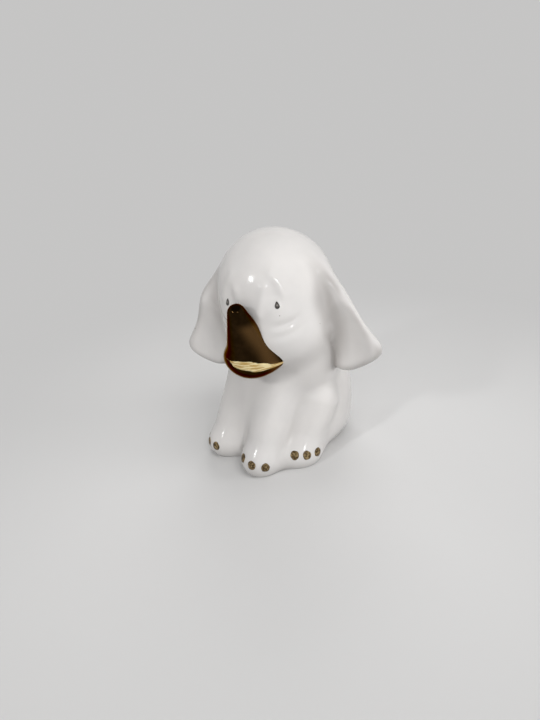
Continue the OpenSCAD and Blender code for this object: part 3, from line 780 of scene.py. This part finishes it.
whole = Shell(*net(hollow_figure, FIGURE_LOW, FIGURE_HIGH, FIGURE_STEP))
whole = whole.clip(whole.points[:, 2]).capped()
for side, node in ((1, "left_ear"), (-1, "right_ear")):
    beyond = whole.clip(past_ear_seam(whole.points, side))
    beyond = beyond.part_with(from_head(EAR_TIP * np.array([side, 1, 1])))
    porcelain_piece(node, beyond.capped())
    whole = whole.clip(-past_ear_seam(whole.points, side)).capped()
porcelain_piece("head_shell", whole.clip(past_neck(whole.points)).capped())
lower = whole.clip(-past_neck(whole.points)).capped()
front = lower.clip(past_front_seam(lower.points)).capped()
back = lower.clip(-past_front_seam(lower.points)).capped()
for side, name in ((1, "left"), (-1, "right")):
    porcelain_piece(name + "_front_leg", front.clip(side * front.points[:, 0]).capped())
    porcelain_piece(name + "_hind_leg", back.clip(past_hind_seam(back.points, side)).capped())
for side in (1, -1):
    back = back.clip(-past_hind_seam(back.points, side)).capped()
porcelain_piece("body_shell", back)


# Tail: a relief on the rump, whose border dips just under the skin
TAIL_BORDER = 0.8
TAIL_SEAT_Y = 33
TAIL_SIDES = 96
TAIL_ROWS = 22
TAIL_SUNK = 0.06
TAIL_REACH = 25


def tail_shell():
    middle = (TAIL[0][2] + TAIL[1][2]) / 2
    a = np.linspace(0, 2 * np.pi, TAIL_SIDES, endpoint=False)
    way = np.stack([np.cos(a), 0 * a, np.sin(a)], -1)

    def outline(p):
        flat_rod = ((0, 0, TAIL[0][2]), (0, 0, TAIL[1][2]), TAIL[2], TAIL[3])
        return rod(p * (1, 0, 1), *flat_rod) - TAIL_BORDER

    edge = leave(outline, np.tile([0.0, 0, middle], (TAIL_SIDES, 1)), way, TAIL_REACH) - (0, 0, middle)
    share = np.sin(np.linspace(0, np.pi / 2, TAIL_ROWS + 1))[1:, None, None]
    start = np.array([0, TAIL_SEAT_Y, middle]) + share * edge
    rows = leave(tailed, start, np.array([0.0, 1, 0]), TAIL_REACH)
    rows[-1] -= TAIL_SUNK * slope(tailed, rows[-1])
    seat = start[-1:]
    tip = leave(tailed, np.array([[0.0, TAIL_SEAT_Y, middle]]), np.array([0.0, 1, 0]), TAIL_REACH)[0]
    rings = np.concatenate([rows, seat])[:, ::-1]
    shell = skin(rings, tip, (0, TAIL_SEAT_Y, middle))
    shell.flat = (shell.points[shell.faces][:, :, 1] <= TAIL_SEAT_Y + 1e-6).any(1)
    return shell


porcelain_piece("tail", tail_shell(), tailed)


# Trunk: a thin gold skin that ends on the face
TRUNK_LOW = (-22, -36, -32)
TRUNK_HIGH = (18, -6, 10)
RIM_SUNK = 0.12
# Where the painted warm reflection runs down the trunk's side, and how it fades
STREAK = (4.5, 0.36, -6.3)
STREAK_WIDTH = 2.2
STREAK_TOP = 0
STREAK_BACK = 22
STREAK_FADES = (4, 3)
# Where the painted pale reflection lies along the lip: level, slope, ends, half height and soft edge
BAND_LEVEL = -17.7
BAND_SLOPE = 0.24
BAND_ENDS = (-6.5, 11.2)
BAND_HALF = 2.0
BAND_EDGE = 1.2


def lustre_shell():
    points, faces = net(trunk, TRUNK_LOW, TRUNK_HIGH, TRUNK_STEP)
    outer = Shell(points, faces)
    outer = outer.clip(skull(outer.points) + RIM_SUNK)
    inner = outer.points - LUSTRE * slope(trunk, outer.points)
    n = len(outer.points)
    loop = [np.array(ring) for ring in outer.open_loops()]
    rim = []
    for ring in loop:
        after = np.roll(ring, -1)
        rim += [np.stack([ring, after, after + n], -1), np.stack([ring, after + n, ring + n], -1)]
    faces = np.concatenate([outer.faces, outer.faces[:, ::-1] + n, *rim])
    flat = np.arange(len(faces)) >= len(outer.faces)
    return Shell(np.concatenate([outer.points, inner]), faces, flat)


def painted_trunk_reflections(q):
    """How much of the painted warm reflection and of the painted pale reflection shows at points of the
    trunk.
    """
    x, z = q[:, 0], q[:, 2]
    warm_reflection_paint = np.exp(-((x - STREAK[0] + STREAK[1] * (z - STREAK[2])) / STREAK_WIDTH) ** 2)
    warm_reflection_paint = warm_reflection_paint * smooth((STREAK_TOP - z) / STREAK_FADES[0])
    warm_reflection_paint = warm_reflection_paint * smooth((-q[:, 1] - STREAK_BACK) / STREAK_FADES[1])
    middle = BAND_LEVEL - BAND_SLOPE * x
    ends = np.clip((x - BAND_ENDS[0]) / (BAND_ENDS[1] - BAND_ENDS[0]), 0, 1)
    half = BAND_HALF * np.sqrt(np.clip(4 * ends * (1 - ends), 0, 1))
    pale_reflection_paint = 0.5 + 0.5 * np.clip((half - np.abs(z - middle)) / BAND_EDGE, -1, 1)
    return warm_reflection_paint, pale_reflection_paint


lustre = lustre_shell()
warm_reflection_paint, pale_reflection_paint = painted_trunk_reflections(lustre.points)
lustre.points = from_head(lustre.points)
gold_trunk = make("gold_trunk_lustre", "trunk_lustre", lustre, trunk_in_place, GOLD)
attribute(gold_trunk, "warm_reflection_paint", warm_reflection_paint)
attribute(gold_trunk, "pale_reflection_paint", pale_reflection_paint)
core = frame["nodes"]["trunk_core"]
core.data.materials.clear()
core.data.materials.append(PORCELAIN)


# Painted spots: low lenses on the skin
SPOT_SIDES = 64
SPOT_ROWS = 10
SPOT_SEARCH = 4
NAIL_SEARCH = 20
PUPIL_SEARCH = 60
SPOT_EDGE = 1.02
# Waves in a nail's outline: height, number around it
NAIL_WAVES = ((0.03, 3), (0.02, 5))
# Fans of nails: turn outward, angle between neighbours, height of the middle one, fall to the outer one
FRONT_NAILS = {1: (20, 40, 7.1, 1.1), -1: (24, 38, 6.6, 0)}
HIND_NAILS = (65, 40, 6.7, 0.6)


def spot_shell(at, outline, thickness, form):
    """A lens at a place on a form, with an outline around it; also each point's share of the way out."""
    out = slope(form, at)
    side = np.cross((0, 0, 1), out)
    side /= np.linalg.norm(side)
    up = np.cross(out, side)
    share = np.linspace(0, 1, SPOT_ROWS + 1)
    flat = outline[:, :1] * side + outline[:, 1:] * up
    start = at - SPOT_SEARCH * out + share[:, None, None] * flat
    low = leave(form, start, out, 2 * SPOT_SEARCH)
    height = FILM_GAP + thickness * np.sqrt(np.clip(SPOT_EDGE - share ** 2, 0, 1))
    high = low + height[:, None, None] * out
    low = low + FILM_GAP * out
    rings = np.concatenate([high[1:], low[:0:-1]])
    upper, under = np.repeat(share[1:], SPOT_SIDES), np.repeat(share[:0:-1], SPOT_SIDES)
    shares = np.concatenate([[0], upper, under, [0]])
    return skin(rings, high[0, 0], low[0, 0]), shares


def joined(shells):
    starts = np.cumsum([0] + [len(shell.points) for shell in shells[:-1]])
    faces = [shell.faces + start for shell, start in zip(shells, starts)]
    return Shell(np.concatenate([shell.points for shell in shells]), np.concatenate(faces))


def pupil(node, side):
    a = np.linspace(0, 2 * np.pi, SPOT_SIDES, endpoint=False)
    drop = np.stack([
        PUPIL_HALF[0] * np.cos(a) * (1 - PUPIL_POINT * np.sin(a)),
        PUPIL_HALF[1] * np.sin(a),
    ], -1)
    start = np.array([[PUPIL_SIDE + side * PUPIL_SPACING / 2, SKULL_AT[1], PUPIL_LEVELS[side]]], float)
    at = leave(skull, start, np.array([0.0, -1, 0]), PUPIL_SEARCH)[0]
    shell, shares = spot_shell(at, drop, ENAMEL, skull)
    shell.points = from_head(shell.points)
    piece = make("enamel_" + node, node, shell, None, PUPIL)
    attribute(piece, "out", shares)


def nails(node, side, foot, fan):
    turn, step, level, fall = fan
    a = np.linspace(0, 2 * np.pi, SPOT_SIDES, endpoint=False)
    shells = []
    for k in (-1, 0, 1):
        (high, few), (low, many) = NAIL_WAVES
        wobble = 1 + high * np.sin(few * a + 2 * k + turn) + low * np.sin(many * a + turn * k)
        oval = np.stack([NAIL_HALF[0] * np.cos(a), NAIL_HALF[1] * np.sin(a)], -1) * wobble[:, None]
        angle = math.radians(turn + k * step)
        start = np.array([[side * foot[0], foot[1], level - k * fall]], float)
        at = leave(figure, start, np.array([side * math.sin(angle), -math.cos(angle), 0]), NAIL_SEARCH)[0]
        shells.append(spot_shell(at, oval, LUSTRE, figure)[0])
    make("gold_" + node, node, joined(shells), None, WORN_GOLD_DARK_REFLECTION)


for side, name in ((1, "left"), (-1, "right")):
    pupil(name + "_eye", side)
    nails(name + "_front_nails", side, FRONT_FOOT[0], FRONT_NAILS[side])
    nails(name + "_hind_nails", side, HIND_FOOT[0], HIND_NAILS)


# Stage: a round pale floor that curves up into a wall
FLOOR_GAP = 0.00005
FLOOR_RINGS = [0.1, 0.3]
FLOOR_RADIUS = 0.62
WALL_RADIUS = 0.95
WALL_HEIGHT = 0.9
STAGE_SIDES = 128
STAGE_CURVE = 24
STAGE_PALE = (0.74, 0.735, 0.73)
STAGE_TONE = (0.71, 0.705, 0.70)
STAGE_AROUND = (0.3, 0.296, 0.292)
FADE_FROM = 0.06
FADE_TO = 0.24
BACKDROP_LEVEL = 0.76


def stage_material():
    """Pale paper that fades into an even backdrop for the camera and in mirrors, and bounces less light."""
    material, tree, shader = new_material("studio_paper")
    place = add_node(tree, "ShaderNodeTexCoord").outputs["Object"]
    rays = add_node(tree, "ShaderNodeLightPath").outputs
    mirrored = maths(tree, "MAXIMUM", rays["Is Glossy Ray"], rays["Is Transmission Ray"])
    seen = maths(tree, "MAXIMUM", rays["Is Camera Ray"], mirrored)
    away = add_node(tree, "ShaderNodeVectorMath", {0: place}, operation="LENGTH").outputs["Value"]
    far = maths(tree, "MULTIPLY", between(tree, away, FADE_FROM, FADE_TO), seen)
    paper = mix(tree, noise(tree, place, 3, 2), STAGE_PALE, STAGE_TONE)
    paper = mix(tree, far, paper, (0, 0, 0))
    tree.links.new(mix(tree, seen, STAGE_AROUND, paper), shader.inputs["Base Color"])
    glow = maths(tree, "MULTIPLY", far, BACKDROP_LEVEL)
    tree.links.new(glow, shader.inputs["Emission Strength"])
    shader.inputs["Emission Color"].default_value = (*STAGE_PALE, 1)
    shader.inputs["Roughness"].default_value = 0.9
    shader.inputs["Specular IOR Level"].default_value = 0.0
    return material


def studio():
    bend = WALL_RADIUS - FLOOR_RADIUS
    t = np.linspace(0, np.pi / 2, STAGE_CURVE)
    radii = np.concatenate([FLOOR_RINGS, FLOOR_RADIUS + bend * np.sin(t), [WALL_RADIUS]])
    levels = np.concatenate([[0, 0], bend * (1 - np.cos(t)), [WALL_HEIGHT]]) - FLOOR_GAP
    a = np.linspace(0, 2 * np.pi, STAGE_SIDES, endpoint=False)
    rings = np.stack([
        radii[:, None] * np.cos(a), radii[:, None] * np.sin(a), np.repeat(levels[:, None], STAGE_SIDES, 1),
    ], -1)
    m, n = rings.shape[:2]
    points = [(0, 0, -FLOOR_GAP)] + rings.reshape(-1, 3).tolist()
    faces = [(0, 1 + j, 1 + (j + 1) % n) for j in range(n)]
    for i in range(m - 1):
        for j in range(n):
            k = (j + 1) % n
            faces.append((1 + i * n + j, 1 + (i + 1) * n + j, 1 + (i + 1) * n + k, 1 + i * n + k))
    mesh = bpy.data.meshes.new("studio_floor")
    mesh.from_pydata(points, [], faces)
    mesh.polygons.foreach_set("use_smooth", np.ones(len(faces), bool))
    mesh.materials.append(stage_material())
    floor = bpy.data.objects.new("studio_floor", mesh)
    bpy.context.scene.collection.objects.link(floor)


# Lamps: place around the figure (azimuth, elevation, distance), width, power, and whether glaze mirrors it
LOOK_AT = Vector((0.002, 0.003, 0.045))
LAMPS = {
    "key": ((80, 55, 0.6), 0.36, 1.05, False),
    "fill": ((38, 6, 0.6), 0.4, 1.05, False),
    "right": ((122, 6, 0.6), 0.35, 1.6, False),
    "back": ((222, 28, 0.6), 0.45, 1.3, False),
    "front": ((2, 31, 0.6), 0.06, 0.65, True),
    "side": ((64, 27, 0.6), 0.05, 0.25, True),
    "left": ((-75, 30, 0.6), 0.35, 0.3, False),
    "top": ((160, 78, 0.6), 0.4, 0.6, False),
}
WORLD_GREY = 0.2


def lamp(name, place, width, power, mirrored):
    azimuth, elevation, distance = math.radians(place[0]), math.radians(place[1]), place[2]
    data = bpy.data.lights.new(name, "AREA")
    data.shape = "DISK"
    data.size = width
    data.energy = power
    light = bpy.data.objects.new(name, data)
    light.visible_glossy = mirrored
    level = math.cos(elevation)
    back = Vector((math.sin(azimuth) * level, -math.cos(azimuth) * level, math.sin(elevation)))
    light.location = LOOK_AT + distance * back
    light.rotation_euler = back.to_track_quat("Z", "Y").to_euler()
    bpy.context.scene.collection.objects.link(light)


def world():
    made = bpy.data.worlds.new("studio")
    made.use_nodes = True
    background = made.node_tree.nodes["Background"]
    background.inputs["Color"].default_value = (WORLD_GREY, WORLD_GREY, WORLD_GREY, 1)
    bpy.context.scene.world = made


# Camera at the photograph's place: angles in degrees, lengths in metres
CAMERA_AZIMUTH = 50
CAMERA_ELEVATION = 25
CAMERA_ROLL = -6
CAMERA_DISTANCE = 0.232
CAMERA_AT = Vector((0.0024, 0, 0.042))
FOCAL_PIXELS = 541
IMAGE_HEIGHT = 720


def camera():
    a, e, r = (math.radians(v) for v in (CAMERA_AZIMUTH, CAMERA_ELEVATION, CAMERA_ROLL))
    back = Vector((math.sin(a) * math.cos(e), -math.cos(a) * math.cos(e), math.sin(e)))
    right = Vector((math.cos(a), math.sin(a), 0))
    up = back.cross(right)
    across = right * math.cos(r) + up * math.sin(r)
    upright = up * math.cos(r) - right * math.sin(r)
    data = bpy.data.cameras.new("camera")
    data.lens = data.sensor_width * FOCAL_PIXELS / IMAGE_HEIGHT
    made = bpy.data.objects.new("camera", data)
    turned = Matrix((across, upright, back)).transposed().to_4x4()
    made.matrix_world = Matrix.Translation(CAMERA_AT + CAMERA_DISTANCE * back) @ turned
    bpy.context.scene.collection.objects.link(made)
    bpy.context.scene.camera = made


studio()
for name, settings in LAMPS.items():
    lamp(name, *settings)
world()
camera()
bpy.context.scene.view_settings.view_transform = "Standard"
